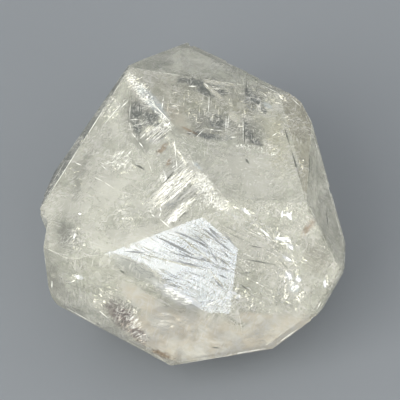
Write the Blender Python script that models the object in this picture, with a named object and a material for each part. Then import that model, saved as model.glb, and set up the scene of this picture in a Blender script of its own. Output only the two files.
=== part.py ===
# One calcite crystal: a stout, many-sided natural crystal, grown as a single piece and unmounted.
# Built in metres, +Z up, standing on its own flat under face, with the front toward -Y.
# The origin is the middle of the outline seen from above, at the level of the table.

import math

import bpy
import bmesh
from mathutils import Matrix, Vector
from mathutils.geometry import intersect_point_line

# Driving dimensions
MM = 0.001
CENTRE_HEIGHT = 19.5 * MM
CENTRE_SHIFT_X = -0.33 * MM
CENTRE_SHIFT_Y = -0.085 * MM
BLOCK_SIZE = 130.0 * MM

# Crystal faces: direction in degrees from the front toward the right, slope of the face's outward
# direction above the horizontal in degrees, and distance of the face from the crystal's centre in mm.
GROWN_FACES = {
    "upper left": (-50.0, 78.0, 18.7),
    "near brow": (-25.5, 79.5, 19.2),
    "upper right": (111.0, 80.5, 18.4),
    "big lower": (11.5, 31.0, 20.8),
    "big lower, right part": (14.34, 30.44, 20.99),
    "big lower, apex corner": (14.38, 32.74, 20.98),
    "left sliver": (-112.5, 38.0, 25.5),
    "top": (163.0, 54.0, 23.2),
    "right shoulder": (106.5, 70.5, 20.8),
    "right flank": (89.5, 26.0, 25.8),
    "right bevel": (50.5, 1.0, 31.6),
    "lower left": (1.9, 21.3, 22.57),
    "lower right": (8.0, 18.0, 23.1),
    "left cheek": (-31.5, 6.0, 29.8),
    "left toe": (-24.0, -4.5, 28.8),
    "front undercut": (12.5, -47.5, 26.9),
    "right toe undercut": (55.0, -37.5, 27.8),
    "left toe undercut": (-41.0, -43.5, 25.5),
    "back left": (-127.5, -6.0, 18.4),
    "back left low": (-107.5, -18.0, 18.9),
    "back left top": (-133.0, -2.0, 20.2),
    "back right": (142.0, -8.5, 20.7),
    "back right corner": (132.5, -9.0, 21.0),
    "right rear": (114.5, -8.0, 21.5),
    "right rear low": (84.0, -31.0, 24.8),
    "left edge": (-99.5, -13.5, 22.7),
    "left edge front": (-97.0, -11.0, 23.3),
    "left edge low": (-81.5, -29.5, 25.8),
    "rear low": (172.0, -38.0, 26.4),
    "rear left low": (-128.0, -44.0, 23.4),
    "right low": (112.0, -46.0, 24.6),
}

# Broken corners, growth steps and terraces: each is taken away where all its planes are passed.
SET_BACKS = {
    "broken left corner": ((-49.0, -4.0, 26.8), (-94.0, 24.0, 28.6)),
    "broken left side": ((-49.0, -4.0, 26.8), (-99.0, -4.3, 23.0)),
    "step under the big face": ((9.9, 21.0, 22.49), (98.5, 5.0, 5.0)),
    "step at the upper right corner": ((163.0, 54.0, 23.0), (95.0, 20.0, 15.5)),
    "second step at the upper right corner": ((163.0, 54.0, 22.8), (95.0, 20.0, 17.5)),
    "terrace on the upper right": ((111.0, 80.5, 18.28), (164.0, 29.0, 10.4)),
    "low ledge": ((11.5, 31.0, 20.68), (-49.25, -39.1, 9.29), (-77.2, -2.2, 9.59)),
    "terrace on the back left": ((-127.5, -6.0, 18.0), (-150.0, 62.0, 7.0)),
    "terrace on the back left low": ((-107.5, -18.0, 18.5), (-40.0, -40.0, 9.0)),
    "terrace on the back right": ((142.0, -8.5, 20.2), (75.0, 48.0, 8.0)),
    "terrace on the rear low": ((172.0, -38.0, 26.0), (95.0, -20.0, 3.0)),
    "terrace on the right flank": ((89.5, 26.0, 25.5), (-10.0, -48.0, 6.0)),
    "terrace on the right rear": ((114.5, -8.0, 21.1), (170.0, -40.0, 9.0)),
}

# Natural grooves: across and up the face, in mm, from one end to the other.
GROOVE_WIDTH = 0.34 * MM
GROOVE_DEPTH = 0.07 * MM
GROOVES = {
    "big lower": (
        (-10.0, 6.0, -2.5, -0.2),
        (-7.1, 6.7, 0.3, -2.1),
        (-9.6, 1.0, -0.3, -3.9),
        (0.7, -0.2, 3.7, -4.3),
        (-3.4, 6.3, 2.2, 1.4),
        (-1.4, -2.0, 2.2, -8.9),
        (-13.2, 2.8, -4.2, -2.0),
        (6.4, 0.3, 10.2, -1.3),
        (7.0, -2.8, 12.2, -5.5),
    ),
    "upper left": (
        (4.5, -10.3, 4.4, -1.8),
        (6.6, -9.6, 6.2, 0.6),
        (8.4, -9.1, 8.3, 2.2),
        (1.3, -5.5, 1.6, 2.1),
        (-1.3, -5.3, -1.3, 2.1),
        (-3.6, -4.8, -4.1, 2.6),
    ),
    "left cheek": (
        (-13.5, 6.6, -10.0, 5.5),
        (-13.0, 4.5, -8.9, 2.8),
        (-12.6, 2.1, -7.9, 0.3),
        (-12.2, -0.5, -8.2, -2.1),
    ),
    "back right": (
        (-9.0, 4.0, 3.0, 9.0),
        (-8.0, 0.5, 6.0, 6.0),
        (-6.0, -3.0, 8.0, 2.5),
    ),
    "back left": (
        (-5.0, 9.0, 4.0, 2.0),
        (-2.0, 12.0, 7.0, 5.0),
    ),
}

# Chips broken off the edges: near which place, in mm from the centre, and half the chip's width in mm.
# Each leans a little to one side or the other, by a sine that moves on from one chip to the next.
CHIP_STRETCH = 1.6
CHIP_LEAN = 0.3
CHIP_LEAN_STEP = 2.4
CHIPS = (
    (-8.3, 10.6, 19.3, 0.45),
    (-4.8, 5.6, 19.1, 0.40),
    (-0.8, -1.1, 18.9, 0.50),
    (4.2, -8.6, 18.4, 0.45),
    (-11.9, -17.6, 14.8, 0.45),
    (5.5, -12.9, 17.8, 0.40),
    (10.0, -11.8, 17.8, 0.70),
    (17.0, -11.0, 16.7, 0.45),
    (-14.8, 11.2, 18.3, 0.40),
    (-19.8, 2.7, 16.3, 0.55),
    (-24.4, -5.0, 14.5, 0.60),
    (-27.4, -10.3, 13.3, 0.50),
    (-16.3, -24.4, 0.7, 0.80),
    (-13.5, -25.4, -2.3, 0.60),
    (-10.7, -26.5, -5.2, 0.90),
    (-7.8, -27.5, -7.9, 0.70),
    (-22.0, -20.3, 12.8, 0.50),
    (-20.0, -22.0, 7.2, 0.45),
    (21.6, -11.3, 14.7, 0.50),
    (24.0, -14.0, 9.4, 0.50),
    (26.8, -17.1, 3.5, 0.60),
    (24.8, -19.8, -0.2, 0.50),
    (22.2, -22.8, -4.3, 0.50),
    (8.3, -23.4, -0.6, 0.45),
    (-0.6, 27.9, 9.3, 0.60),
    (9.8, 15.8, 16.2, 0.45),
    (18.7, 14.5, 14.3, 0.50),
    (19.4, -2.3, 15.8, 0.45),
    (25.5, -1.7, 6.5, 0.60),
)


def clear_scene():
    for existing in list(bpy.data.objects):
        bpy.data.objects.remove(existing, do_unlink=True)


def new_collection(name):
    collection = bpy.data.collections.new(name)
    bpy.context.scene.collection.children.link(collection)
    return collection


def outward(azimuth, slope):
    turn = math.radians(azimuth)
    rise = math.radians(slope)
    return Vector((math.sin(turn) * math.cos(rise), -math.cos(turn) * math.cos(rise), math.sin(rise)))


def new_block():
    shape = bmesh.new()
    bmesh.ops.create_cube(shape, size=BLOCK_SIZE)
    return shape


def keep_side(shape, normal, distance):
    # Cuts the solid with a plane, keeps the side the normal points away from and closes the cut.
    everything = shape.verts[:] + shape.edges[:] + shape.faces[:]
    bmesh.ops.bisect_plane(
        shape,
        geom=everything,
        dist=1e-7,
        plane_co=normal * distance,
        plane_no=normal,
        clear_outer=True,
    )
    rim = [edge for edge in shape.edges if edge.is_boundary]
    if rim:
        bmesh.ops.holes_fill(shape, edges=rim, sides=0)


def grow_crystal():
    # Cuts the block down by every grown face, and last by the flat under face it stands on.
    shape = new_block()
    for azimuth, slope, distance in GROWN_FACES.values():
        keep_side(shape, outward(azimuth, slope), distance * MM)
    keep_side(shape, Vector((0.0, 0.0, -1.0)), CENTRE_HEIGHT)
    bmesh.ops.recalc_face_normals(shape, faces=shape.faces)
    return shape


def set_back(planes):
    # The piece outside all the given planes, to be taken off the crystal.
    shape = new_block()
    for azimuth, slope, distance in planes:
        keep_side(shape, -outward(azimuth, slope), -distance * MM)
    return shape


def face_axes(name):
    # Foot of the face under the centre, with directions across the face, up the face and outward.
    azimuth, slope, distance = GROWN_FACES[name]
    normal = outward(azimuth, slope)
    across = Vector((0.0, 0.0, 1.0)).cross(normal).normalized()
    up = normal.cross(across)
    return normal * distance * MM, across, up, normal


def groove(name, line):
    # A long, flat eight-sided shape sunk into the face, deepest in the middle of its length.
    foot, across, up, normal = face_axes(name)
    start = foot + across * line[0] * MM + up * line[1] * MM
    end = foot + across * line[2] * MM + up * line[3] * MM
    along = (end - start).normalized()
    side = normal.cross(along)
    half_length = (end - start).length / 2
    shape = bmesh.new()
    bmesh.ops.create_uvsphere(shape, u_segments=4, v_segments=2, radius=1.0)
    stretch = Matrix.Diagonal((half_length, GROOVE_WIDTH / 2, GROOVE_DEPTH, 1.0))
    turn = Matrix((along, side, normal)).transposed().to_4x4()
    place = Matrix.Translation((start + end) / 2)
    bmesh.ops.transform(shape, matrix=place @ turn @ stretch, verts=shape.verts)
    return shape


def nearest_edge(shape, place):
    # The point of the crystal's edges closest to the place, and the edge that it is on.
    found = None
    for edge in shape.edges:
        start, end = (corner.co for corner in edge.verts)
        share = intersect_point_line(place, start, end)[1]
        foot = start.lerp(end, min(1.0, max(0.0, share)))
        if found is None or (foot - place).length < (found[0] - place).length:
            found = foot, edge
    return found


def chip(grown, number, spot):
    # A block laid across the nearest edge, with a flat under side that leaves a facet there.
    foot, edge = nearest_edge(grown, Vector(spot[:3]) * MM)
    reach = spot[3] * MM
    bend = edge.calc_face_angle()
    facing = (edge.link_faces[0].normal + edge.link_faces[1].normal).normalized()
    along = (edge.verts[1].co - edge.verts[0].co).normalized()
    side = facing.cross(along)
    shape = bmesh.new()
    bmesh.ops.create_cube(shape, size=2 * reach)
    stretch = Matrix.Diagonal((1.0, CHIP_STRETCH, 1.0, 1.0))
    lean = Matrix.Rotation(CHIP_LEAN * bend * math.sin(CHIP_LEAN_STEP * number), 4, "X")
    turn = Matrix((along, side, facing)).transposed().to_4x4()
    sink = reach * math.tan(bend / 2)
    place = Matrix.Translation(foot + facing * (reach - sink))
    bmesh.ops.transform(shape, matrix=place @ turn @ lean @ stretch, verts=shape.verts)
    return shape


def to_object(shape, name, collection):
    # Moves the shape from the crystal's centre to its height above the table and makes it an object.
    centre = Vector((CENTRE_SHIFT_X, CENTRE_SHIFT_Y, CENTRE_HEIGHT))
    bmesh.ops.translate(shape, verts=shape.verts, vec=centre)
    bmesh.ops.recalc_face_normals(shape, faces=shape.faces)
    mesh = bpy.data.meshes.new(name)
    shape.to_mesh(mesh)
    shape.free()
    made = bpy.data.objects.new(name, mesh)
    collection.objects.link(made)
    return made


def calcite_material():
    # Clear to milky calcite with a faint warm grey cast.
    material = bpy.data.materials.new("calcite")
    material.use_nodes = True
    shader = material.node_tree.nodes["Principled BSDF"]
    shader.inputs["Base Color"].default_value = (0.80, 0.79, 0.73, 1.0)
    shader.inputs["Metallic"].default_value = 0.0
    shader.inputs["Roughness"].default_value = 0.12
    shader.inputs["IOR"].default_value = 1.6
    shader.inputs["Transmission Weight"].default_value = 0.8
    return material


def make_cutters(collection):
    for name, planes in SET_BACKS.items():
        to_object(set_back(planes), "cut " + name, collection)
    for name, lines in GROOVES.items():
        for number, line in enumerate(lines, start=1):
            to_object(groove(name, line), f"cut groove {name} {number}", collection)
    grown = grow_crystal()
    for number, spot in enumerate(CHIPS, start=1):
        to_object(chip(grown, number, spot), f"cut chip {number}", collection)
    grown.free()
    for cutter in collection.objects:
        cutter.hide_render = True
        cutter.display_type = "WIRE"


def build():
    clear_scene()
    parts = new_collection("calcite")
    cutters = new_collection("cutters")
    make_cutters(cutters)
    crystal = to_object(grow_crystal(), "crystal", parts)
    crystal.data.materials.append(calcite_material())
    breaks = crystal.modifiers.new("steps, grooves and chips", "BOOLEAN")
    breaks.operation = "DIFFERENCE"
    breaks.operand_type = "COLLECTION"
    breaks.collection = cutters
    breaks.solver = "EXACT"


build()
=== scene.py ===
# A stout calcite crystal, clear to milky, lying on a pale table in soft light.
# Metres, +Z up; the front of the crystal faces -Y.

import math
import random

import bmesh
import bpy
from mathutils import Matrix, Vector, noise
from mathutils.bvhtree import BVHTree


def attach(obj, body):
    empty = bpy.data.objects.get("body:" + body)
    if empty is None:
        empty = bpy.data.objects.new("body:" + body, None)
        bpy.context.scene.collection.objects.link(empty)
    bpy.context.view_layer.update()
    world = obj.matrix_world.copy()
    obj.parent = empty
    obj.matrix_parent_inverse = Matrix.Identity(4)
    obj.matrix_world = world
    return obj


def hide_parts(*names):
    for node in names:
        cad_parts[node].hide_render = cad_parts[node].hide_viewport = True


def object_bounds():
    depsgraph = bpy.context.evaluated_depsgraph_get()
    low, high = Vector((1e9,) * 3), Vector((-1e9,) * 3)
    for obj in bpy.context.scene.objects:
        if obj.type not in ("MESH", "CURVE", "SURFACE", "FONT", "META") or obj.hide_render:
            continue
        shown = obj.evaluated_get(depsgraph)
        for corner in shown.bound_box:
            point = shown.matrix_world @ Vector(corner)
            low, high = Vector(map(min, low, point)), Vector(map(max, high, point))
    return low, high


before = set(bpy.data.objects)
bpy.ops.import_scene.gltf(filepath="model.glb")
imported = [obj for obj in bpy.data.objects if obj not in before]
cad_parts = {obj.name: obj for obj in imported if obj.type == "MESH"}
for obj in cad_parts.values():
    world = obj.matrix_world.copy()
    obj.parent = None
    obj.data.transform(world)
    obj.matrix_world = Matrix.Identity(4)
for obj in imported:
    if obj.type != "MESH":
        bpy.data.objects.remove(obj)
solid_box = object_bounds()
MM = 0.001


# The camera looks down on the crystal from the front, at the photograph's slope, through a long lens.
# A point of the photograph is found again in the crystal from its column and row in the picture,
# counted from the apex in the middle, and from how far it lies in front of or behind that apex.
PICTURE_POINT = 0.185 * MM
PICTURE_SIZE = 400
APEX_IN_PICTURE = Vector((235, 207))
APEX = Vector((7.61, -12.115, 37.65)) * MM
LOOK_DOWN = math.radians(60)
LENS = 400.0
SENSOR = 36.0
AIM_DEPTH = -90
CLIP_START = 0.01
CLIP_END = 10.0

across = Vector((1, 0, 0))
upward = Vector((0, math.sin(LOOK_DOWN), math.cos(LOOK_DOWN)))
toward = Vector((0, -math.cos(LOOK_DOWN), math.sin(LOOK_DOWN)))


def spot(column, row, depth):
    # The point at a column and row of the picture, and a depth toward the camera, in picture points.
    right = column - APEX_IN_PICTURE.x
    rise = APEX_IN_PICTURE.y - row
    return APEX + (across * right + upward * rise + toward * depth) * PICTURE_POINT


def new_object(name, data):
    made = bpy.data.objects.new(name, data)
    bpy.context.scene.collection.objects.link(made)
    return made


camera_data = bpy.data.cameras.new("camera")
camera_data.lens = LENS
camera_data.sensor_width = SENSOR
camera_data.clip_start = CLIP_START
camera_data.clip_end = CLIP_END
camera = new_object("camera", camera_data)
view_distance = PICTURE_SIZE * PICTURE_POINT * LENS / SENSOR
camera.location = spot(PICTURE_SIZE / 2, PICTURE_SIZE / 2, AIM_DEPTH) + toward * view_distance
camera.rotation_euler = (math.radians(90) - LOOK_DOWN, 0, 0)
bpy.context.scene.camera = camera
bpy.context.scene.view_settings.view_transform = "Standard"
bpy.context.scene.cycles.max_bounces = 32
bpy.context.scene.cycles.transmission_bounces = 24
bpy.context.scene.cycles.transparent_max_bounces = 64


# The table: a wide flat board, painted matt in a pale cool grey.
# The crystal lies loose on it, and it runs far beyond the picture on every side.
TABLE_SIZE = 3.0
TABLE_GREY = (0.19, 0.205, 0.22, 1)
TABLE_ROUGHNESS = 0.8


def new_material(name):
    # A material with its node tree and its main shader.
    material = bpy.data.materials.new(name)
    material.use_nodes = True
    return material, material.node_tree, material.node_tree.nodes["Principled BSDF"]


table_shape = bmesh.new()
bmesh.ops.create_grid(table_shape, x_segments=1, y_segments=1, size=TABLE_SIZE / 2)
table_mesh = bpy.data.meshes.new("table")
table_shape.to_mesh(table_mesh)
table_shape.free()
table = new_object("table", table_mesh)
table_paint, tree, skin = new_material("table paint")
skin.inputs["Base Color"].default_value = TABLE_GREY
skin.inputs["Roughness"].default_value = TABLE_ROUGHNESS
table_mesh.materials.append(table_paint)


# The room: a pale surround, one large soft window high on the left, a wide low one on the right,
# and a small one in front, which the polished part of the big lower face mirrors toward the camera.
LEFT_WINDOW = (-55, 45)
RIGHT_WINDOW = (42, 10)
FRONT_WINDOW = (15.5, 2.5)
LIT_POINT = Vector((0, -0.018, 0.025))
ROOM_LIGHT = (0.97, 0.985, 1.0, 1)
ROOM_STRENGTH = 1.0

world = bpy.data.worlds.new("room")
world.use_nodes = True
surround = world.node_tree.nodes["Background"]
surround.inputs["Color"].default_value = ROOM_LIGHT
surround.inputs["Strength"].default_value = ROOM_STRENGTH
bpy.context.scene.world = world


def heading(azimuth, height):
    # The direction at an azimuth from the front toward the right, and a height above level, in degrees.
    turn = math.radians(azimuth)
    rise = math.radians(height)
    return Vector((math.sin(turn) * math.cos(rise), -math.cos(turn) * math.cos(rise), math.sin(rise)))


def window(name, way, distance, width, tall, strength, colour):
    light = bpy.data.lights.new(name, "AREA")
    light.shape = "RECTANGLE"
    light.size = width
    light.size_y = tall
    light.energy = strength
    light.color = colour
    lamp = new_object(name, light)
    lamp.location = LIT_POINT + way * distance
    lamp.rotation_euler = way.to_track_quat("Z", "Y").to_euler()
    lamp.visible_camera = False


window(
    "window left",
    heading(*LEFT_WINDOW),
    distance=0.9,
    width=0.8,
    tall=0.8,
    strength=6.6,
    colour=(1.0, 0.975, 0.92),
)
window(
    "window right",
    heading(*RIGHT_WINDOW),
    distance=0.9,
    width=0.5,
    tall=0.3,
    strength=3.6,
    colour=(1.0, 0.95, 0.88),
)
window(
    "window front",
    heading(*FRONT_WINDOW),
    distance=0.8,
    width=0.105,
    tall=0.14,
    strength=0.34,
    colour=(0.735, 0.825, 1.0),
)


# The crystal: calcite grown as one solid piece, with flat, etched and finely grooved faces.
# It is clear to milky throughout, a little yellow-green, with fine cracks and cleavage lines all over.
IOR = 1.6
CLEARNESS = 0.7
SAME_POINT = 0.001 * MM
SAME_PLANE = math.radians(0.2)
SIGHT_START = 300
WHITE = (1.0, 0.99, 0.92, 1)

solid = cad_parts["crystal"]
whole = bmesh.new()
whole.from_mesh(solid.data)
bmesh.ops.remove_doubles(whole, verts=whole.verts, dist=SAME_POINT)
bmesh.ops.dissolve_limit(whole, angle_limit=SAME_PLANE, verts=whole.verts, edges=whole.edges)
bmesh.ops.recalc_face_normals(whole, faces=whole.faces)
surface = BVHTree.FromBMesh(whole)
whole.faces.ensure_lookup_table()


def sight(column, row):
    # What the line of sight through a picture point meets: point, outward direction, face number.
    return surface.ray_cast(spot(column, row, SIGHT_START), -toward)[:3]


def face_at(column, row):
    # The point of the surface that the photograph shows there, and the face's outward direction.
    return sight(column, row)[:2]


def bent_inward(ray, normal):
    # The way a ray goes on inside the crystal.
    cosine = -normal.dot(ray)
    return ray / IOR + normal * (cosine / IOR - math.sqrt(1 - (1 - cosine * cosine) / IOR ** 2))


def seen(column, row, depth=0.0):
    # The point seen there, or the one that far below the surface on the bent line of sight.
    point, normal = face_at(column, row)
    return point + bent_inward(-toward, normal) * depth


def name_faces(name, picture_points):
    # Gives the faces seen at those points a value of their own, in an attribute of that name.
    named = whole.faces.layers.float.new(name)
    whole.faces.ensure_lookup_table()
    for column, row, value in picture_points:
        whole.faces[sight(column, row)[2]][named] = value


def in_face(start, end):
    # Unit directions along the line between two picture points of a face, and across it in the face.
    along = (seen(*end) - seen(*start)).normalized()
    return along, face_at(*start)[1].cross(along).normalized()


def place(tree, kind, inputs=None, **settings):
    # Adds a shader node; an input that comes from another node is linked, any other is set.
    made = tree.nodes.new("ShaderNode" + kind)
    for name, value in settings.items():
        setattr(made, name, value)
    for name, value in (inputs or {}).items():
        if isinstance(value, bpy.types.NodeSocket):
            tree.links.new(value, made.inputs[name])
        else:
            made.inputs[name].default_value = value
    return made


def work_out(tree, operation, first, second, third=0.0):
    return place(tree, "Math", {0: first, 1: second, 2: third}, operation=operation).outputs[0]


def times(tree, first, second):
    return work_out(tree, "MULTIPLY", first, second)


def dot(tree, first, second):
    return place(tree, "VectorMath", {0: first, 1: second}, operation="DOT_PRODUCT").outputs["Value"]


def ramp(tree, value, low, high, to_low=0.0, to_high=1.0):
    # Goes smoothly from one value to another as the input goes from low to high.
    spread = {"Value": value, "From Min": low, "From Max": high, "To Min": to_low, "To Max": to_high}
    return place(tree, "MapRange", spread, interpolation_type="SMOOTHSTEP").outputs["Result"]


def tint(tree, amount, first, second):
    # Goes from the first colour to the second as the amount goes from 0 to 1.
    return place(tree, "Mix", {0: amount, 6: first, 7: second}, data_type="RGBA").outputs[2]


def mottle(tree, where, scale, detail=4.0, roughness=0.6):
    # Noise about 0.5.
    look = {"Vector": where, "Scale": scale, "Detail": detail, "Roughness": roughness}
    return place(tree, "TexNoise", look).outputs["Fac"]


def new_group(name, inputs, output):
    # A shader node group with one output; inputs are names with their kind and usual value.
    group = bpy.data.node_groups.new(name, "ShaderNodeTree")
    for label, kind, value in inputs:
        socket = group.interface.new_socket(label, in_out="INPUT", socket_type="NodeSocket" + kind)
        socket.default_value = value
    group.interface.new_socket(output, in_out="OUTPUT", socket_type="NodeSocketFloat")
    return group, group.nodes.new("NodeGroupInput").outputs, group.nodes.new("NodeGroupOutput").inputs


# Patch group: 1 inside a long or round spot of the crystal, 0 outside, with a ragged soft rim.
patch, asked, given = new_group(
    "patch",
    [
        ("Centre", "Vector", (0, 0, 0)),
        ("Along", "Vector", (1, 0, 0)),
        ("Fall Across", "Float", 1e5),
        ("Fall Along", "Float", 0.0),
        ("Soft", "Float", 0.4),
        ("Ragged", "Float", 0.6),
        ("Rim", "Float", 0.0),
    ],
    "Mask",
)
where = place(patch, "TexCoord").outputs["Object"]
offset = place(patch, "VectorMath", {0: where, 1: asked["Centre"]}, operation="SUBTRACT").outputs[0]
run = dot(patch, offset, asked["Along"])
reach = dot(patch, offset, offset)
fall = times(patch, reach, asked["Fall Across"])
fall = work_out(patch, "MULTIPLY_ADD", times(patch, run, run), asked["Fall Along"], fall)
distance = work_out(patch, "SQRT", fall, 0.0)
ragged = work_out(patch, "MULTIPLY_ADD", asked["Rim"], asked["Ragged"], distance)
inner = work_out(patch, "SUBTRACT", 1.0, asked["Soft"])
outer = work_out(patch, "ADD", 1.0, asked["Soft"])
patch.links.new(ramp(patch, ragged, outer, inner), given["Mask"])

# Streaks group: fine broken lines that run one way, as on etched and hatched faces.
streaks, asked, given = new_group(
    "streaks",
    [
        ("Along", "Vector", (1, 0, 0)),
        ("Side", "Vector", (0, 1, 0)),
        ("Spacing", "Float", 0.4 * MM),
        ("Run", "Float", 4 * MM),
        ("Cover", "Float", 0.5),
        ("Bend", "Float", 0.8 * MM),
    ],
    "Lines",
)
where = place(streaks, "TexCoord").outputs["Object"]
bend = times(streaks, mottle(streaks, where, 180.0, 1.0), asked["Bend"])
run = work_out(streaks, "DIVIDE", dot(streaks, where, asked["Along"]), asked["Run"])
side = work_out(streaks, "ADD", dot(streaks, where, asked["Side"]), bend)
side = work_out(streaks, "DIVIDE", side, asked["Spacing"])
flat_place = place(streaks, "CombineXYZ", {"X": run, "Y": side}).outputs[0]
low = work_out(streaks, "SUBTRACT", 0.75, times(streaks, asked["Cover"], 0.5))
high = work_out(streaks, "ADD", low, 0.06)
lines = ramp(streaks, mottle(streaks, flat_place, 1.0, 2.0, 0.5), low, high)
streaks.links.new(lines, given["Lines"])

# Crackle group: a net of fine healed cracks, broken up here and there.
crackle, asked, given = new_group(
    "crackle",
    [("Cell", "Float", 1.5 * MM), ("Line", "Float", 0.08 * MM), ("Cover", "Float", 0.6)],
    "Lines",
)
where = place(crackle, "TexCoord").outputs["Object"]
wander = place(crackle, "TexNoise", {"Vector": where, "Scale": 700.0, "Detail": 2.0}).outputs["Color"]
wander = place(crackle, "VectorMath", {0: wander, "Scale": 0.8 * MM}, operation="SCALE").outputs[0]
shifted = place(crackle, "VectorMath", {0: where, 1: wander}, operation="ADD").outputs[0]
cells = {"Vector": shifted, "Scale": work_out(crackle, "DIVIDE", 1.0, asked["Cell"])}
gap = place(crackle, "TexVoronoi", cells, feature="DISTANCE_TO_EDGE").outputs["Distance"]
gap = times(crackle, gap, asked["Cell"])
net = ramp(crackle, gap, asked["Line"], 0.0)
broken = work_out(crackle, "SUBTRACT", 1.05, asked["Cover"])
unbroken = work_out(crackle, "ADD", broken, 0.1)
shown = ramp(crackle, mottle(crackle, where, 1100.0, 3.0), broken, unbroken)
crackle.links.new(times(crackle, net, shown), given["Lines"])


def marks(tree, group, values):
    # Puts a group in the material with its own values and gives back what it puts out.
    return place(tree, "Group", values, node_tree=group).outputs[0]


def patches(tree, rim, spots, ragged, soft=0.4):
    # The strongest of several patches. Each is a column and row of the picture, half its length and
    # half its width in mm, and two picture points of its face that give its direction.
    total = None
    for column, row, length, width, start, end in spots:
        across_fall = 1 / (width * MM) ** 2
        along_fall = 1 / (length * MM) ** 2 - across_fall
        placing = {"Centre": seen(column, row), "Along": in_face(start, end)[0]}
        falls = {"Fall Across": across_fall, "Fall Along": along_fall}
        mask = marks(tree, patch, {**placing, **falls, "Ragged": ragged, "Soft": soft, "Rim": rim})
        total = mask if total is None else work_out(tree, "MAXIMUM", total, mask)
    return total


# Dark patches are painted reflection, where the clear calcite would mirror dark surroundings, in a
# surround of painted shade. Clouds are milky, rust is iron stain in small pits, plates are pale flat
# flakes, stars are painted highlights, and broken parts carry a white net of cracks. The thin side
# faces, the smooth shoulders and two soft patches get painted shade, so they look greyer. The lower
# faces carry a painted warm reflection, the end of the polished part a painted reflection of the front
# window, small spots a painted bluish reflection, and the two purplish spots near the bottom a painted
# dark reflection.
# Painted reflection: dark patches where the clear calcite would mirror dark surroundings.
PAINTED_DARK_REFLECTIONS = [
    (138, 112, 1.8, 1.3, (137, 112), (128, 128)),
    (152, 120, 2.3, 1.3, (146, 112), (160, 126)),
    (138, 128, 1.5, 0.8, (137, 112), (143, 134)),
    (205, 92, 1.7, 1.0, (200, 88), (210, 98)),
    (196, 83, 3.4, 0.8, (190, 82), (222, 86)),
    (221, 93, 1.1, 0.7, (216, 91), (226, 94)),
    (249, 93, 1.3, 0.8, (246, 88), (252, 99)),
    (255, 101, 1.7, 0.6, (250, 98), (261, 104)),
    (263, 110, 0.9, 0.5, (258, 104), (266, 114)),
    (219, 125, 1.6, 0.9, (214, 124), (226, 126)),
    (245.5, 130, 2.0, 0.4, (244.5, 120), (246, 142)),
    (249, 135, 1.4, 0.6, (245, 128), (254, 142)),
    (204, 136, 3.0, 0.5, (190, 134), (218, 139)),
    (256, 143, 1.2, 0.5, (250, 140), (260, 145)),
]
SHADED = [
    (141, 117, 3.8, 2.6, (134, 108), (150, 130)),
    (210, 88, 5.6, 1.7, (190, 82), (230, 92)),
    (215, 122, 5.0, 2.4, (196, 118), (236, 128)),
    (251, 97, 2.8, 2.2, (246, 88), (258, 106)),
    (250, 132, 2.8, 2.2, (244, 122), (258, 144)),
    (206, 136, 5.0, 0.8, (188, 132), (224, 140)),
    (70, 237, 3.0, 1.8, (66, 226), (76, 246)),
    (141, 142, 2.4, 1.4, (134, 134), (150, 152)),
]
# Painted reflection: two dark purplish patches where the clear calcite would show dark surroundings.
PAINTED_PURPLE_REFLECTIONS = [
    (122, 314, 3.4, 2.0, (112, 300), (132, 326)),
    (138, 333, 2.0, 1.2, (130, 325), (146, 341)),
]
# Painted shade: two soft patches laid darker and greyer over the faces.
PAINTED_SHADE_PATCHES = [
    (206, 104, 12.0, 6.5, (170, 100), (250, 115)),
    (316, 260, 3.6, 2.2, (308, 250), (322, 272)),
]
GREY_BAND = [
    (138, 270, 5.2, 1.5, (118, 259), (160, 281)),
]
# Painted reflection: warm, light patches on the lower faces.
PAINTED_WARM_REFLECTION = [
    (190, 338, 13.0, 6.0, (160, 332), (225, 343)),
    (268, 336, 9.5, 4.2, (235, 340), (295, 326)),
    (145, 300, 6.0, 1.8, (130, 288), (165, 314)),
    (265, 321, 6.5, 1.6, (240, 311), (299, 323)),
]
# Painted reflection: a pale bluish-white band at the end of the polished part, standing in for the
# front window's light.
PAINTED_WINDOW_REFLECTION = [
    (177, 295, 4.8, 1.4, (164, 286), (198, 307)),
]
PLATES = [
    (221, 83.5, 3.2, 0.50, (205, 82), (238, 86)),
    (213, 91.5, 2.4, 0.45, (203, 83), (222, 99)),
    (262, 88, 2.6, 0.40, (250, 82), (275, 93)),
    (234, 118, 1.4, 0.8, (228, 112), (240, 124)),
]
BEIGE = [
    (176, 116, 2.4, 2.0, (170, 104), (184, 128)),
    (187, 132, 2.0, 1.0, (180, 128), (195, 137)),
]
# Painted highlights: small bluish-white spots where the glints flash.
PAINTED_GLINTS = [
    (281, 214, 0.7, 0.22, (281, 210), (280.5, 218)),
    (288, 216, 0.9, 0.45, (285, 212), (291, 220)),
    (282, 239, 1.7, 0.45, (271, 237), (290, 240)),
    (289, 246, 0.9, 0.45, (286, 243), (292, 249)),
    (245, 211, 1.1, 0.28, (240, 208), (250, 215)),
    (264, 232, 1.6, 0.18, (258, 227), (271, 238)),
    (324, 283, 1.0, 0.30, (324, 278), (325, 288)),
    (298, 279, 0.8, 0.55, (295, 277), (300, 281)),
    (288, 275, 1.0, 0.55, (285, 271), (292, 279)),
    (80, 276, 0.9, 0.50, (77, 275), (83, 277)),
    (81.5, 213.5, 0.35, 0.25, (79, 213), (85, 214)),
    (76.5, 236, 0.6, 0.16, (77, 233), (76, 240)),
    (286, 258, 1.1, 0.35, (281, 254), (292, 261)),
    (233, 292, 0.8, 0.30, (228, 290), (240, 295)),
    (238, 296, 0.6, 0.30, (234, 298), (241, 294)),
    (228, 297, 0.4, 0.20, (224, 297), (232, 297)),
]
OLIVE = [
    (214, 108, 11.0, 5.4, (180, 104), (248, 116)),
]
YELLOW = [
    (277, 143, 6.0, 2.4, (276, 116), (282, 160)),
]
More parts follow.
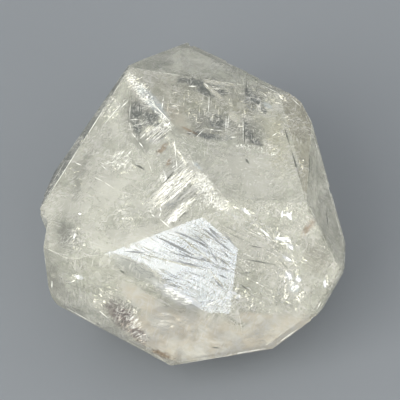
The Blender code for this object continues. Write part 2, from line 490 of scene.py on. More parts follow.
# Painted reflection: small pale bluish-white spots of reflected daylight.
PAINTED_BLUE_REFLECTIONS = [
    (267, 106, 1.0, 0.5, (260, 102), (272, 110)),
    (152, 102, 4.2, 1.1, (135, 80), (175, 128)),
    (293, 287, 1.2, 1.0, (289, 281), (297, 293)),
    (197, 166, 1.2, 0.4, (190, 158), (206, 174)),
]
CLOUDS = [
    (245, 172, 8.0, 4.0, (200, 160), (285, 180)),
    (150, 235, 8.0, 2.6, (120, 240), (190, 222)),
    (141, 94, 3.6, 1.4, (132, 80), (154, 110)),
    (46, 211, 1.3, 1.0, (44, 208), (48, 214)),
    (92, 304, 3.4, 1.8, (82, 296), (104, 314)),
    (103, 137, 3.6, 1.6, (90, 150), (114, 122)),
    (106, 192, 6.0, 4.0, (88, 200), (125, 182)),
    (192, 62, 9.0, 2.2, (160, 58), (225, 70)),
]
RUST = [
    (306, 228, 1.7, 0.65, (302, 234), (311, 222)),
    (162, 354, 1.8, 0.6, (154, 350), (171, 357)),
    (163, 149, 1.3, 0.5, (159, 153), (167, 144)),
    (169, 163, 0.8, 0.4, (167, 166), (171, 160)),
    (189, 131, 1.6, 0.25, (180, 128), (196, 136)),
]
HATCHED = [
    (159, 133, 2.4, 1.9, (149, 141), (170, 124)),
    (177, 186, 5.4, 3.4, (150, 214), (184, 184)),
    (176, 214, 2.6, 1.6, (168, 222), (184, 206)),
]
RULED = [
    (59, 278, 4.4, 1.9, (57, 262), (61, 294)),
]
SCRATCHED = [
    (180, 262, 9.0, 5.0, (140, 250), (230, 280)),
    (226, 240, 6.0, 4.0, (210, 226), (236, 262)),
    (252, 258, 6.0, 5.0, (240, 250), (272, 262)),
]
BROKEN = [
    (138, 89, 3.6, 1.3, (130, 77), (150, 106)),
    (199, 184, 4.6, 2.2, (184, 166), (214, 204)),
    (222, 203, 2.4, 1.2, (212, 198), (232, 208)),
    (155, 210, 1.6, 1.4, (150, 205), (160, 216)),
    (258, 104, 2.6, 2.2, (250, 96), (268, 112)),
    (293, 281, 3.6, 2.4, (286, 268), (300, 298)),
    (236, 295, 1.2, 0.8, (226, 290), (240, 298)),
    (84, 236, 1.4, 2.2, (80, 230), (86, 244)),
]
# Painted shade: the thin left sliver face, the right shoulder and a little of the side are made darker
# as whole faces.
name_faces("painted shade sliver", [(60, 172, 0.85)])
name_faces("painted shade side", [(300, 150, 0.75), (325, 190, 0.12)])
calcite, tree, skin = new_material("calcite")
skin.inputs["IOR"].default_value = IOR
skin.inputs["Transmission Weight"].default_value = CLEARNESS
where = place(tree, "TexCoord").outputs["Object"]
rim = work_out(tree, "SUBTRACT", mottle(tree, where, 900.0), 0.5)
hatch_way = in_face((150, 214), (184, 184))
scratch_way = in_face((155, 234), (198, 256))
steep_way = in_face((228, 135), (229, 108))
level_way = in_face((203, 131), (226, 133))
ruled_way = in_face((53, 264), (67, 273))

haze = mottle(tree, where, 170.0, 6.0, 0.7)
grain = mottle(tree, where, 1900.0, 3.0)
cloudy = mottle(tree, where, 420.0, 5.0, 0.65)
body = tint(tree, ramp(tree, haze, 0.36, 0.64), (0.58, 0.59, 0.50, 1), (0.78, 0.78, 0.68, 1))
body = tint(tree, ramp(tree, cloudy, 0.50, 0.72, 0.0, 0.6), body, (0.92, 0.92, 0.83, 1))
body = tint(tree, ramp(tree, grain, 0.55, 0.75, 0.0, 0.5), body, WHITE)


def coloured(spots, ragged, amount, colour, soft=0.4):
    # The body colour with patches of another colour laid over it.
    mask = patches(tree, rim, spots, ragged, soft)
    return tint(tree, times(tree, mask, amount), body, colour)


def streaked(way, spacing, run, cover, bend=0.8):
    # Fine broken lines along one way of a face; the spacing, run and bend are in mm.
    sizes = {"Spacing": spacing * MM, "Run": run * MM, "Bend": bend * MM}
    return marks(tree, streaks, {"Along": way[0], "Side": way[1], "Cover": cover, **sizes})


body = coloured(CLOUDS, 1.4, 0.45, (0.92, 0.91, 0.82, 1))
# Painted shade: soft patches that make parts of the faces greyer.
body = coloured(PAINTED_SHADE_PATCHES, 1.4, 0.42, (0.46, 0.44, 0.36, 1))
# Painted shade on the shoulder and side faces.
side_shade = place(tree, "Attribute", attribute_name="painted shade side").outputs["Fac"]
body = tint(tree, side_shade, body, (0.40, 0.38, 0.29, 1))
# Painted shade on the thin left sliver face.
sliver_shade = place(tree, "Attribute", attribute_name="painted shade sliver").outputs["Fac"]
body = tint(tree, sliver_shade, body, (0.24, 0.25, 0.24, 1))
body = coloured(GREY_BAND, 1.0, 0.8, (0.44, 0.46, 0.42, 1))
# Painted warm reflection on the lower faces, mottled.
warm_reflection_colour = tint(tree, ramp(tree, cloudy, 0.40, 0.62), (0.94, 0.86, 0.71, 1), (1.0, 0.98, 0.88, 1))
body = coloured(PAINTED_WARM_REFLECTION, 0.5, 0.85, warm_reflection_colour, 0.3)
# Painted reflection of the front window at the end of the polished part.
body = coloured(PAINTED_WINDOW_REFLECTION, 1.4, 0.75, (0.93, 0.95, 0.93, 1), 0.3)
body = coloured(BEIGE, 1.4, 0.6, (0.60, 0.54, 0.44, 1), 0.6)
spotty = ramp(tree, mottle(tree, where, 460.0, 3.0, 0.6), 0.50, 0.56)
olive = times(tree, patches(tree, rim, OLIVE, 1.0), spotty)
body = tint(tree, times(tree, olive, 0.6), body, (0.34, 0.34, 0.25, 1))
body = coloured(YELLOW, 1.4, 0.45, (0.76, 0.73, 0.52, 1), 0.7)
# Painted bluish reflection in small spots.
body = coloured(PAINTED_BLUE_REFLECTIONS, 1.4, 0.6, (0.82, 0.93, 1.0, 1))
body = coloured(SHADED, 2.0, 0.55, (0.20, 0.21, 0.19, 1), 0.6)
# Dark patches of painted reflection, where the clear calcite would mirror dark surroundings.
dark_reflection_paint = patches(tree, rim, PAINTED_DARK_REFLECTIONS, 2.0, 0.5)
body = tint(tree, times(tree, dark_reflection_paint, 0.9), body, (0.13, 0.145, 0.14, 1))
body = coloured(PLATES, 0.7, 0.8, (0.82, 0.80, 0.67, 1), 0.1)
# Two dark purplish patches of painted reflection near the bottom.
body = coloured(PAINTED_PURPLE_REFLECTIONS, 2.0, 0.85, (0.20, 0.155, 0.16, 1), 0.6)
body = coloured(RUST, 1.5, 0.85, (0.36, 0.25, 0.15, 1), 0.6)

hatch = streaked(hatch_way, 0.42, 5, 0.56)
gaps = streaked(hatch_way, 0.35, 3, 0.42)
hatched = patches(tree, rim, HATCHED, 1.6)
gaps = times(tree, hatched, times(tree, gaps, 0.9))
body = tint(tree, gaps, body, (0.27, 0.27, 0.24, 1))
hatch = times(tree, hatched, hatch)
body = tint(tree, hatch, body, WHITE)

net = marks(tree, crackle, {"Cell": 0.9 * MM, "Line": 0.16 * MM, "Cover": 0.62})
wide_net = marks(tree, crackle, {"Cell": 2.4 * MM, "Line": 0.11 * MM, "Cover": 0.5})
broken = times(tree, patches(tree, rim, BROKEN, 1.6), net)
cracked = times(tree, dark_reflection_paint, times(tree, wide_net, 0.5))
body = tint(tree, work_out(tree, "MAXIMUM", broken, cracked), body, WHITE)
milky_net = times(tree, wide_net, ramp(tree, haze, 0.52, 0.60, 0.0, 0.6))
body = tint(tree, milky_net, body, WHITE)

ticks = None
for way, run, cover, low in (
    (hatch_way, 1.0, 0.42, 0.46),
    (scratch_way, 2.4, 0.36, 0.46),
    (steep_way, 1.6, 0.36, 0.50),
    (level_way, 1.2, 0.36, 0.50),
):
    some = streaked(way, 0.26, run, cover)
    where_some = ramp(tree, mottle(tree, where, 140.0 + 60 * run, 2.0), low, low + 0.12)
    some = times(tree, some, where_some)
    ticks = some if ticks is None else work_out(tree, "MAXIMUM", ticks, some)
body = tint(tree, times(tree, ticks, 0.85), body, WHITE)
# Painted highlights at the glints.
body = coloured(PAINTED_GLINTS, 1.6, 1.0, (0.95, 0.98, 1.0, 1), 0.2)
rules = times(tree, streaked(ruled_way, 0.5, 8, 0.6, 0.2), patches(tree, rim, RULED, 0.6))
body = tint(tree, times(tree, rules, 0.30), body, (0.45, 0.45, 0.40, 1))
scratches = streaked(scratch_way, 0.34, 9, 0.36)
scratched = patches(tree, rim, SCRATCHED, 0.8)
scratches = times(tree, scratches, ramp(tree, scratched, 0.0, 1.0, 0.12, 0.8))
body = tint(tree, times(tree, scratches, 0.7), body, (0.32, 0.33, 0.31, 1))
tree.links.new(body, skin.inputs["Base Color"])
matt = patches(tree, rim, GREY_BAND, 1.0)
rough = work_out(tree, "MULTIPLY_ADD", matt, 0.3, ramp(tree, haze, 0.3, 0.7, 0.02, 0.12))
tree.links.new(rough, skin.inputs["Roughness"])

etched = times(tree, grain, ramp(tree, scratched, 0.0, 1.0, 1.0, 0.15))
etched = work_out(tree, "MULTIPLY_ADD", times(tree, matt, cloudy), 9.0, etched)
etched = work_out(tree, "MULTIPLY_ADD", scratches, -1.1, etched)
etched = work_out(tree, "MULTIPLY_ADD", hatch, 0.8, etched)
relief = place(tree, "Bump", {"Strength": 0.4, "Distance": 0.05 * MM, "Height": etched})
tree.links.new(relief.outputs["Normal"], skin.inputs["Normal"])


def new_piece(name, shape, material):
    # Makes the shape an object of its own, in place, no part of it beyond the crystal's own box.
    for corner in shape.verts:
        corner.co = [min(max(at, low), high) for at, low, high in zip(corner.co, *solid_box)]
    mesh = bpy.data.meshes.new(name)
    shape.to_mesh(mesh)
    shape.free()
    mesh.materials.append(material)
    piece = new_object(name, mesh)
    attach(piece, "root")
    return piece


crystal = new_piece("calcite_crystal", whole.copy(), calcite)
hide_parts("crystal")


# The long edges are rubbed: a hairline of crushed white calcite follows each of them.
# It shows only where two faces meet at a clear angle, and is gone where the edge is still whole.
SHORTEST_RUBBED = 3.0 * MM
LOWEST_RUBBED = 1.0 * MM
FLATTEST_RUBBED = math.radians(20)
RUB_WIDTH = 0.15 * MM
RUB_THICKNESS = 0.02 * MM
RUB_SUNK = 0.7


def powdered(name, low, high, whole_low, whole_high):
    # White powdery calcite, broken up finely, and gone where the coarser noise is under its low value.
    material, tree, skin = new_material(name)
    skin.inputs["Roughness"].default_value = 0.45
    where = place(tree, "TexCoord").outputs["Object"]
    powder = mottle(tree, where, 1800.0, 3.0)
    powder = tint(tree, powder, (0.86, 0.86, 0.78, 1), (1.0, 1.0, 0.94, 1))
    tree.links.new(powder, skin.inputs["Base Color"])
    cover = ramp(tree, mottle(tree, where, 700.0, 5.0, 0.7), low, high)
    stretches = ramp(tree, mottle(tree, where, 110.0, 2.0), whole_low, whole_high)
    tree.links.new(times(tree, cover, stretches), skin.inputs["Alpha"])
    return material


def lay(shape, corners, middle, along, facing, size):
    # Stretches new corners to a size and lays them in place, along one direction and facing another.
    turn = Matrix((along, facing.cross(along), facing)).transposed().to_4x4()
    stretch = Matrix.Diagonal((*size, 1.0))
    bmesh.ops.transform(shape, matrix=Matrix.Translation(middle) @ turn @ stretch, verts=corners)


rubbed = powdered("rubbed edge", 0.40, 0.58, 0.42, 0.62)
rub_shape = bmesh.new()
for edge in whole.edges:
    bend = edge.calc_face_angle(0)
    first, second = (corner.co for corner in edge.verts)
    slight = edge.calc_length() < SHORTEST_RUBBED or bend < FLATTEST_RUBBED
    if slight or max(first.z, second.z) < LOWEST_RUBBED:
        continue
    facing = (edge.link_faces[0].normal + edge.link_faces[1].normal).normalized()
    along = (second - first).normalized()
    sink = RUB_WIDTH / 2 * math.tan(bend / 2)
    middle = (first + second) / 2 - facing * (sink * RUB_SUNK + RUB_THICKNESS / 2)
    made = bmesh.ops.create_cube(rub_shape, size=1.0)["verts"]
    lay(rub_shape, made, middle, along, facing, ((second - first).length, RUB_WIDTH, RUB_THICKNESS))
new_piece("rubbed_edges", rub_shape, rubbed)


# Healed cracks run right through the crystal along its cleavage. They are thin milky veils,
# cut from the crystal's own cross-section and set in a little from its faces.
VEIL_THICKNESS = 0.05 * MM
VEIL_CELL = 1.6 * MM
VEIL_SWELL = 0.9 * MM
SWELL_SCALE = 110
SWELL_SHIFT = 7.3
VEIL_REACH = 45 * MM
CUT_ACCURACY = 1e-7
# Name, picture point and depth under it in mm, facing, and how far it is drawn in, in mm.
VEILS = [
    ("low", (200, 235), 20.0, (0.10, 0.15, 0.98), 1.5),
    ("middle", (200, 235), 13.0, (-0.25, -0.10, 0.96), 1.5),
    ("steep_left", (150, 190), 5.0, (-0.80, -0.35, 0.50), 1.2),
    ("steep_right", (270, 160), 6.0, (0.75, -0.45, 0.45), 1.2),
    ("front", (210, 290), 5.0, (0.10, -0.90, 0.40), 1.2),
    ("upright", (240, 110), 4.0, (0.98, 0.05, 0.18), 1.2),
]
veil_milk, tree, skin = new_material("veil")
skin.inputs["Roughness"].default_value = 0.5
skin.inputs["Base Color"].default_value = (0.97, 0.97, 0.93, 1)
where = place(tree, "TexCoord").outputs["Object"]
wisps = {"Vector": where, "Scale": 130.0, "Detail": 7.0, "Roughness": 0.75, "Distortion": 0.6}
wisps = place(tree, "TexNoise", wisps).outputs["Fac"]
tree.links.new(ramp(tree, wisps, 0.40, 0.64, 0.08, 0.9), skin.inputs["Alpha"])


def everything(shape):
    return shape.verts[:] + shape.edges[:] + shape.faces[:]


def cut_in_cells(shape, directions):
    # Cuts the sheet along families of parallel planes, so that it can be bent.
    steps = int(VEIL_REACH / VEIL_CELL)
    for direction in directions:
        for step in range(-steps, steps + 1):
            bmesh.ops.bisect_plane(
                shape,
                geom=everything(shape),
                dist=CUT_ACCURACY,
                plane_co=direction * (step * VEIL_CELL),
                plane_no=direction,
            )


def cross_section(place_on, facing, margin):
    # The crystal's outline where a plane goes through it, as one face, drawn in by the margin.
    shape = whole.copy()
    bmesh.ops.bisect_plane(
        shape,
        geom=everything(shape),
        dist=CUT_ACCURACY,
        plane_co=place_on,
        plane_no=facing,
        clear_outer=True,
        clear_inner=True,
    )
    bmesh.ops.triangle_fill(shape, use_beauty=True, edges=shape.edges[:], normal=facing)
    middle = sum((corner.co for corner in shape.verts), Vector()) / len(shape.verts)
    size = max((corner.co - middle).length for corner in shape.verts)
    for corner in shape.verts:
        corner.co = middle + (corner.co - middle) * (1 - margin * MM / size)
    return shape


for number, (name, point, depth, facing, margin) in enumerate(VEILS):
    facing = Vector(facing).normalized()
    veil_shape = cross_section(seen(*point, depth * MM), facing, margin)
    first = facing.orthogonal().normalized()
    cut_in_cells(veil_shape, (first, facing.cross(first)))
    for corner in veil_shape.verts:
        swell = noise.noise(corner.co * SWELL_SCALE + Vector((number * SWELL_SHIFT, 0, 0)))
        corner.co += facing * swell * VEIL_SWELL
    bmesh.ops.solidify(veil_shape, geom=veil_shape.faces[:], thickness=VEIL_THICKNESS)
    new_piece("veil_" + name, veil_shape, veil_milk)


# Open cracks hold air, so they gleam like silver where they face the window.
# Hatching, cleavage traces and glints are all thin flat splinters of such cracks, just under the faces.
SPLINTER_THICKNESS = 0.02 * MM
SHORTEST_SHARE = 0.35
NARROWEST_SHARE = 0.4
SHALLOWEST_GLEAM = 0.2
GLEAM_SPREAD = 0.08
FLAKE_SPREAD = (0.6, 1.3)
gleam, tree, skin = new_material("crack gleam")
skin.inputs["Base Color"].default_value = (1.0, 0.99, 0.94, 1)
skin.inputs["Metallic"].default_value = 1.0
where = place(tree, "TexCoord").outputs["Object"]
frost = mottle(tree, where, 2500.0, 3.0)
tree.links.new(ramp(tree, frost, 0.3, 0.7, 0.10, 0.35), skin.inputs["Roughness"])
ripple = place(tree, "Bump", {"Strength": 0.4, "Distance": 0.03 * MM, "Height": frost})
tree.links.new(ripple.outputs["Normal"], skin.inputs["Normal"])
chance = random.Random(7)


def gleaming(column, row):
    # How a splinter under that point has to face to mirror the left window toward the camera.
    normal = face_at(column, row)[1]
    to_camera = -bent_inward(-toward, normal)
    to_window = -bent_inward(-heading(*LEFT_WINDOW), normal)
    return (to_camera + to_window).normalized()


def splinter(shape, middle, along, facing, length, width, corners=4):
    # A flat splinter with pointed ends, or an uneven flake where it has more than four corners.
    along = (along - facing * along.dot(facing)).normalized()
    made = bmesh.ops.create_cone(
        shape, cap_ends=True, segments=corners, radius1=0.5, radius2=0.4, depth=1.0
    )["verts"]
    if corners > 4:
        for corner in made:
            corner.co.xy *= chance.uniform(*FLAKE_SPREAD)
    lay(shape, made, middle, along, facing, (length, width, SPLINTER_THICKNESS))


def splinters(shape, material, zones):
    # Scatters splinters over oval zones of the picture. A zone says its middle and its reach along and
    # across in picture points, its direction and the splinters' direction and spread in degrees,
    # how many there are, the longest, widest and deepest in mm, and their number of corners.
    for column, row, long, short, zone_turn, run_turn, spread, count, *sizes in zones:
        longest, widest, deepest, corners = sizes
        for _ in range(count):
            reach = math.sqrt(chance.random())
            round_about = chance.uniform(0, 2 * math.pi)
            right = reach * math.cos(round_about) * long
            up = reach * math.sin(round_about) * short
            turn = math.radians(zone_turn)
            at_column = column + right * math.cos(turn) - up * math.sin(turn)
            at_row = row - right * math.sin(turn) - up * math.cos(turn)
            run = math.radians(run_turn + chance.gauss(0, spread))
            along = across * math.cos(run) + upward * math.sin(run)
            if material == gleam:
                facing = gleaming(at_column, at_row)
                stray = Vector((chance.gauss(0, 1), chance.gauss(0, 1), chance.gauss(0, 1)))
                facing += stray * GLEAM_SPREAD
                depth = chance.uniform(SHALLOWEST_GLEAM, deepest) * MM
            else:
                facing = face_at(at_column, at_row)[1]
                depth = chance.uniform(0.0, deepest) * MM
            splinter(
                shape,
                seen(at_column, at_row, depth),
                along,
                facing.normalized(),
                chance.uniform(SHORTEST_SHARE, 1.0) * longest * MM,
                chance.uniform(NARROWEST_SHARE, 1.0) * widest * MM,
                corners,
            )


def scatter(name, zones):
    # A piece of gleaming splinters.
    shape = bmesh.new()
    splinters(shape, gleam, zones)
    new_piece(name, shape, gleam)


def cracks(shape, material, depth, lines):
    # One splinter for each line from a picture point to another, with its width in mm.
    for start, end, width in lines:
        first = seen(*start, depth)
        second = seen(*end, depth)
        middle = Vector(start).lerp(Vector(end), 0.5)
        facing = gleaming(middle.x, middle.y) if material == gleam else face_at(middle.x, middle.y)[1]
        length = (second - first).length
        splinter(shape, (first + second) / 2, second - first, facing, length, width * MM)


# Two sets of fine cracks run through the hatched zones beside and along the ridge.
scatter(
    "hatching",
    [
        (173, 188, 24, 9, 42, 42, 4, 80, 5.0, 0.22, 1.0, 4),
        (181, 210, 16, 4, 42, 42, 8, 30, 3.4, 0.24, 1.0, 4),
        (202, 185, 16, 8, -50, 41, 30, 70, 2.0, 0.24, 0.9, 4),
        (221, 204, 9, 6, -20, 20, 60, 44, 1.2, 0.24, 0.8, 4),
        (157, 131, 13, 10, 40, 47, 4, 60, 3.4, 0.26, 0.9, 4),
        (140, 90, 24, 6, -54, 45, 15, 70, 2.0, 0.30, 0.8, 4),
        (172, 145, 30, 2, -54, -54, 4, 30, 3.0, 0.24, 0.5, 4),
    ],
)

# Level and upright cracks lie round the clear spots and on the right shoulder.
scatter(
    "cleavage_traces",
    [
        (215, 108, 50, 22, -5, 88, 4, 40, 3.0, 0.16, 3.0, 4),
        (215, 108, 50, 22, -5, -4, 5, 40, 2.6, 0.16, 3.0, 4),
        (197, 108, 12, 10, 0, 30, 60, 26, 1.2, 0.22, 2.0, 4),
        (262, 92, 22, 10, -20, -25, 25, 40, 1.8, 0.22, 2.0, 4),
        (281, 98, 6, 3, -40, -40, 8, 10, 1.6, 0.35, 0.8, 4),
        (270, 130, 22, 20, 0, 60, 50, 30, 1.2, 0.2, 3.0, 4),
        (301, 165, 2, 6, 20, 60, 20, 8, 1.4, 0.3, 0.6, 4),
    ],
)

# Short wide flakes flash on the right, thickest toward the lower right corner.
scatter(
    "glints_right",
    [
        (286, 213, 6, 6, 0, 30, 60, 10, 1.2, 0.4, 1.2, 5),
        (281, 239, 10, 4, -20, -30, 40, 12, 1.6, 0.5, 1.2, 5),
        (262, 232, 12, 3, -40, -45, 12, 14, 2.4, 0.30, 1.2, 4),
        (292, 285, 12, 17, 20, 60, 40, 44, 1.4, 0.5, 2.0, 5),
        (285, 255, 26, 16, -50, -50, 20, 46, 1.6, 0.22, 2.6, 4),
        (324, 281, 4, 8, 0, 70, 20, 10, 1.3, 0.4, 1.0, 5),
        (246, 211, 7, 2, -25, -25, 8, 8, 1.4, 0.5, 0.5, 5),
        (270, 300, 26, 12, 0, 20, 50, 30, 1.3, 0.22, 2.2, 4),
        (240, 292, 9, 5, 0, 20, 50, 22, 1.2, 0.4, 0.8, 5),
    ],
)

# Smaller ones flash here and there on the left.
scatter(
    "glints_left",
    [
        (80, 238, 8, 12, 10, 40, 60, 26, 0.9, 0.3, 1.5, 5),
        (78, 276, 5, 5, 0, 45, 60, 10, 1.3, 0.4, 1.2, 5),
        (99, 299, 7, 9, -30, -50, 20, 14, 1.4, 0.35, 1.5, 4),
        (125, 168, 12, 6, 10, 30, 50, 26, 1.0, 0.2, 1.2, 4),
        (126, 214, 8, 12, 0, 50, 50, 12, 0.9, 0.2, 1.5, 4),
        (85, 185, 26, 16, -30, -30, 30, 14, 1.3, 0.16, 2.5, 4),
        (140, 205, 20, 14, 0, -40, 20, 14, 1.5, 0.16, 2.0, 4),
        (110, 110, 14, 10, 50, 50, 10, 40, 1.4, 0.18, 1.5, 4),
    ],
)

# Cracks fan out like feathers round the two purplish spots near the bottom.
scatter(
    "feathers",
    [
        (134, 328, 20, 7, -42, 50, 25, 40, 2.4, 0.20, 1.2, 4),
        (120, 300, 24, 8, -38, -40, 15, 36, 2.0, 0.2, 2.0, 4),
        (175, 322, 20, 10, -10, 10, 50, 26, 1.4, 0.2, 2.0, 4),
    ],
)


# Single open cracks in the calcite, a little under its faces, flash white as they mirror the window.
# Wide flakes make the stars of light, long ones the bright lines.
CRACK_DEPTH = 0.35 * MM
bright_cracks = bmesh.new()
cracks(
    bright_cracks,
    gleam,
    CRACK_DEPTH,
    [
        ((281, 209.5), (280.5, 218), 0.40),
        ((284.5, 212), (291, 220), 0.60),
        ((291, 210), (286.5, 218), 0.44),
        ((280, 214), (288, 216), 0.40),
        ((271, 237), (290, 239), 0.70),
        ((277, 243), (288, 243), 0.50),
        ((284, 234), (291, 244), 0.56),
        ((287, 245), (293, 249), 0.50),
        ((257.8, 227), (271, 238), 0.36),
        ((255.5, 230.5), (260, 234.5), 0.30),
        ((229, 205), (240, 209), 0.30),
        ((240.5, 208), (250.5, 215), 0.60),
        ((323.8, 278), (325, 288), 0.55),
        ((281, 254.5), (292, 261), 0.45),
        ((293, 293), (301, 301), 0.30),
        ((283, 299.5), (291.7, 304), 0.32),
        ((295.5, 277), (300, 281), 0.70),
        ((285, 271), (292, 279), 0.70),
        ((284.3, 278), (284, 283), 0.26),
        ((295.5, 307), (295.5, 311), 0.26),
        ((301, 258), (308, 261), 0.28),
        ((276.5, 226), (276, 231), 0.30),
        ((266, 213), (268, 213), 0.34),
        ((245, 269), (247, 270), 0.34),
        ((246, 277), (248, 279), 0.34),
        ((255, 281), (258, 283), 0.34),
        ((298, 160), (299.5, 165), 0.30),
        ((300, 165), (302, 170), 0.30),
        ((77, 275), (83, 277), 0.45),
        ((80, 272), (80, 280), 0.40),
        ((72, 282), (78, 278), 0.26),
        ((79, 213), (84, 214), 0.30),
        ((77, 232), (76, 240), 0.24),
        ((123, 217), (125, 219), 0.30),
        ((100, 292), (104, 296), 0.40),
        ((278, 95), (284, 101), 0.30),
        ((208, 79), (211, 79), 0.36),
        ((228, 240), (232, 240), 0.30),
    ],
)
new_piece("bright_cracks", bright_cracks, gleam)


# Crushed calcite is a white powder where the crystal was knocked or rubbed: along the ridge,
# in the hatched zones, on the rims and in scratches. It lies in the faces, thinner than a hair.
crushed = powdered("crushed calcite", 0.36, 0.52, 0.0, 0.1)
crushed_marks = bmesh.new()
splinters(
    crushed_marks,
    crushed,
    [
        (140, 89, 18, 5, -54, 40, 50, 120, 1.1, 0.13, 0.01, 4),
        (160, 115, 20, 3, -54, -54, 20, 50, 1.6, 0.13, 0.01, 4),
        (159, 134, 12, 8, 42, 42, 3, 46, 2.8, 0.10, 0.01, 4),
        (173, 188, 22, 8, 42, 42, 3, 60, 4.2, 0.11, 0.01, 4),
        (170, 188, 9, 4, 42, 42, 4, 46, 2.0, 0.16, 0.01, 4),
        (181, 210, 17, 4, 42, 42, 6, 80, 2.6, 0.15, 0.01, 4),
        (203, 184, 14, 8, -52, 40, 50, 150, 1.0, 0.11, 0.01, 4),
        (220, 204, 9, 6, -15, 20, 60, 90, 0.9, 0.11, 0.01, 4),
        (164, 178, 4, 4, 0, 45, 20, 24, 1.2, 0.20, 0.01, 4),
        (173, 220, 6, 3, 40, 45, 20, 30, 1.4, 0.20, 0.01, 4),
        (121, 160, 16, 9, 0, 48, 8, 40, 1.8, 0.10, 0.01, 4),
        (121, 165, 18, 9, 0, -32, 12, 26, 1.6, 0.10, 0.01, 4),
        (178, 295, 15, 5, -30, -12, 12, 90, 1.8, 0.20, 0.01, 4),
        (151, 281, 8, 4, -30, 20, 60, 26, 0.7, 0.11, 0.01, 4),
        (134, 322, 9, 5, -45, 45, 12, 60, 1.8, 0.12, 0.01, 4),
        (140, 336, 8, 3, -45, 40, 12, 40, 1.4, 0.14, 0.01, 4),
        (256, 150, 26, 3, -12, 20, 60, 70, 0.9, 0.12, 0.01, 4),
        (180, 167, 9, 5, 42, 42, 5, 26, 1.8, 0.10, 0.01, 4),
        (146, 117, 14, 9, 42, 44, 8, 46, 1.3, 0.07, 0.01, 4),
        (140, 122, 12, 10, 0, -50, 12, 26, 1.0, 0.07, 0.01, 4),
        (206, 191, 13, 9, -52, 60, 60, 120, 1.0, 0.11, 0.01, 4),
        (203, 203, 9, 7, 0, 60, 30, 50, 1.1, 0.09, 0.01, 4),
        (250, 172, 30, 14, -12, -40, 60, 60, 0.8, 0.08, 0.01, 4),
        (244, 262, 10, 14, 0, -20, 60, 50, 0.9, 0.08, 0.01, 4),
        (218, 305, 14, 4, 5, 5, 30, 50, 1.2, 0.09, 0.01, 4),
    ],
)
cracks(
    crushed_marks,
    crushed,
    0.0,
    [
        ((131, 103), (130, 120), 0.12),
        ((130, 120.5), (141, 120), 0.20),
        ((130, 122), (132, 133), 0.16),
        ((132, 133), (139, 142), 0.20),
        ((139, 142), (144.5, 149), 0.22),
        ((139, 141), (149, 131), 0.18),
        ((121, 109), (129, 101), 0.20),
        ((125.5, 158), (134.5, 149), 0.20),
        ((121, 164), (127, 165), 0.24),
        ((147, 97), (178, 131), 0.20),
        ((162, 115.5), (176, 131), 0.14),
        ((181, 136), (191, 148), 0.14),
        ((174.4, 138), (176.4, 160), 0.20),
        ((176.4, 159), (177.7, 171), 0.18),
        ((186.5, 148), (194.4, 167), 0.20),
        ((196, 167), (214, 186), 0.16),
        ((214, 186), (230, 204), 0.14),
        ((188, 86.7), (197, 86.7), 0.30),
        ((164, 97), (162, 110), 0.28),
        ((203, 129), (224.5, 132), 0.18),
        ((226, 115), (225.5, 135), 0.14),
        ((228.5, 114.5), (227, 135.5), 0.16),
        ((243.5, 82), (243.5, 99), 0.20),
        ((242.8, 112), (242.8, 147), 0.14),
        ((229, 137.8), (236.7, 137.8), 0.20),
        ((209.4, 96), (208, 115.5), 0.12),
        ((195, 139), (205, 129), 0.12),
        ((271, 137), (277, 133), 0.20),
        ((160, 218), (171.4, 228), 0.22),
        ((151.4, 207), (152, 213.6), 0.20),
        ((152, 213.6), (156, 217), 0.20),
        ((160.5, 205.5), (162, 212), 0.20),
        ((162, 212), (159.5, 217), 0.20),
        ((211.4, 192), (211.4, 206), 0.14),
        ((100, 131), (129, 96), 0.14),
        ((83, 283), (95, 303), 0.24),
        ((53.5, 277), (52.5, 292), 0.24),
        ((95, 305), (112, 320), 0.20),
        ((316, 310), (321, 300), 0.16),
        ((306, 203), (317, 225), 0.14),
        ((318, 227), (333, 260), 0.14),
        ((201, 80), (214, 93), 0.14),
        ((203, 82), (230, 83), 0.14),
        ((76, 163), (84, 166), 0.16),
        ((95, 177), (105, 182), 0.16),
        ((105, 182), (117, 190), 0.14),
        ((148.5, 161), (153, 173), 0.10),
        ((199, 307), (228, 295), 0.20),
        ((60, 304), (105, 329), 0.22),
        ((291, 98), (301, 107), 0.12),
        ((302, 107), (311, 130), 0.12),
        ((312, 133), (322, 166), 0.12),
        ((322, 166), (333, 206), 0.12),
        ((333, 206), (343, 243), 0.12),
        ((109.5, 101.5), (80.5, 148), 0.12),
        ((80.5, 148), (51, 195), 0.12),
        ((121, 85), (106, 103), 0.10),
        ((67, 160), (51, 188), 0.10),
        ((105, 329), (165, 361), 0.30),
        ((172, 362.5), (225, 355.5), 0.26),
        ((225, 355.5), (270, 348), 0.22),
        ((274, 346), (300, 327), 0.20),
        ((300, 327), (313, 316), 0.24),
        ((199, 308), (236, 316), 0.16),
        ((250, 81), (266, 89), 0.16),
        ((260, 84), (280, 94), 0.20),
        ((266, 100), (284, 107), 0.16),
        ((268, 95), (284, 102), 0.14),
    ],
)
new_piece("crushed_marks", crushed_marks, crushed)


# Furrows are shallow growth lines across the polished part of the big lower face. Their grey is painted
# shade: thin grey strips in the face where the grooves turn the light of the front window away. Finer
# lines of the kind lie between the hatching, round the dark patches and on the lower faces.
FURROW_SHADE_GREY = (0.20, 0.21, 0.21, 1)


def hairline(name, colour, faintest):
    # A dull line, in stretches from its faintest to full.
    material, tree, skin = new_material(name)
    skin.inputs["Base Color"].default_value = colour
    skin.inputs["Roughness"].default_value = 0.5
    where = place(tree, "TexCoord").outputs["Object"]
    stretches = ramp(tree, mottle(tree, where, 900.0), 0.34, 0.52, faintest, 1.0)
    tree.links.new(stretches, skin.inputs["Alpha"])
    return material


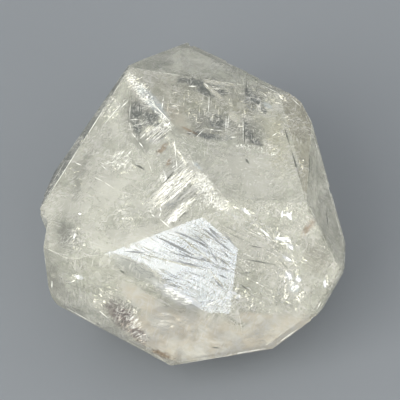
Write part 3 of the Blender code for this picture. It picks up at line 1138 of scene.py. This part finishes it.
furrow_shade = hairline("furrow", FURROW_SHADE_GREY, 0.7)
furrows = bmesh.new()
cracks(
    furrows,
    furrow_shade,
    0.0,
    [
        ((156, 236), (188, 249), 0.51),
        ((167, 242), (198, 256), 0.45),
        ((198, 256), (211, 262), 0.39),
        ((173, 230), (196, 239), 0.45),
        ((196, 239), (209, 248), 0.58),
        ((209, 248), (219, 264), 0.45),
        ((185, 235), (208, 246), 0.39),
        ((200, 225), (222, 244), 0.39),
        ((207, 225), (219, 239), 0.39),
        ((212, 237), (234, 253), 0.45),
        ((222, 230), (235, 247), 0.39),
        ((216, 255), (230, 267), 0.39),
        ((160, 249), (215, 262), 0.33),
        ((164, 257), (214, 269), 0.45),
        ((214, 272), (231, 279), 0.39),
        ((212, 276), (226, 291), 0.45),
        ((122, 250), (150, 252), 0.34),
        ((119, 255), (147, 265), 0.33),
        ((162, 277), (176, 280), 0.34),
        ((166, 283), (184, 286), 0.34),
        ((162, 280), (171, 283), 0.25),
        ((168, 288), (180, 292), 0.25),
        ((176, 295), (190, 299), 0.25),
        ((184, 302), (196, 305), 0.20),
        ((186, 293), (200, 299), 0.18),
        ((190, 230), (214, 250), 0.30),
        ((170, 246), (204, 262), 0.25),
        ((204, 222), (228, 244), 0.28),
        ((218, 246), (234, 262), 0.28),
        ((206, 262), (232, 272), 0.25),
        ((180, 268), (212, 279), 0.22),
    ],
)
splinters(
    furrows,
    furrow_shade,
    [
        (176, 201, 15, 4, 40, 42, 4, 34, 2.6, 0.11, 0.01, 4),
        (176, 201, 14, 3, 40, -46, 8, 30, 0.8, 0.10, 0.01, 4),
        (204, 190, 12, 7, -50, 60, 30, 30, 1.0, 0.12, 0.01, 4),
        (146, 270, 13, 5, -30, -30, 20, 40, 1.2, 0.14, 0.01, 4),
        (254, 104, 10, 8, -40, -50, 50, 60, 1.0, 0.16, 0.01, 4),
        (225, 84, 14, 4, -5, -10, 50, 40, 1.0, 0.14, 0.01, 4),
        (218, 124, 12, 9, 0, 0, 60, 50, 1.2, 0.12, 0.01, 4),
        (158, 134, 12, 8, 42, 42, 4, 36, 2.4, 0.10, 0.01, 4),
        (220, 304, 12, 4, 5, 20, 40, 36, 1.2, 0.12, 0.01, 4),
        (216, 138, 22, 3, -5, -5, 50, 50, 1.0, 0.16, 0.01, 4),
        (285, 290, 16, 16, 0, 60, 40, 50, 1.0, 0.11, 0.01, 4),
        (268, 250, 20, 14, -40, -45, 12, 30, 2.2, 0.09, 0.01, 4),
        (94, 288, 10, 10, -50, -55, 14, 16, 1.8, 0.12, 0.01, 4),
        (170, 325, 26, 12, -15, -12, 10, 50, 2.0, 0.08, 0.01, 4),
        (262, 332, 22, 9, 10, 8, 12, 34, 2.0, 0.08, 0.01, 4),
    ],
)
new_piece("furrows", furrows, furrow_shade)


# Shut hair cracks and narrow gaps in the calcite give no light back.
# They are thin dark lines in the faces.
SHUT_DARK = (0.10, 0.105, 0.09, 1)
shut_crack = hairline("shut crack", SHUT_DARK, 0.4)
dark_cracks = bmesh.new()
cracks(
    dark_cracks,
    shut_crack,
    0.0,
    [
        ((245, 244), (265, 248), 0.29),
        ((238, 257), (279, 265), 0.29),
        ((239, 272), (253, 272), 0.26),
        ((238, 282), (250, 291), 0.26),
        ((262, 233), (278, 252), 0.14),
        ((276, 256), (292, 274), 0.14),
        ((135, 164), (147, 171), 0.44),
        ((150, 141), (163, 130), 0.26),
        ((152, 143), (166, 131), 0.26),
        ((155, 144), (169, 133), 0.26),
        ((162, 186), (176, 170), 0.32),
        ((244, 158), (249, 165), 0.54),
        ((283, 125), (290, 149), 0.32),
        ((290, 149), (302, 190), 0.38),
        ((310, 137), (306, 190), 0.29),
        ((246, 82), (246, 99), 0.38),
        ((244, 121), (244, 147), 0.38),
        ((214, 123), (225, 124), 0.29),
        ((214, 126), (225, 127), 0.35),
        ((216, 129), (225, 130), 0.29),
        ((217, 115), (217, 121), 0.26),
        ((220, 115), (220, 121), 0.26),
        ((205, 88), (213, 99), 0.38),
        ((325, 209), (328, 231), 0.51),
        ((211, 347), (220, 348), 0.38),
        ((120, 268), (127, 273), 0.38),
    ],
)
new_piece("dark_cracks", dark_cracks, shut_crack)
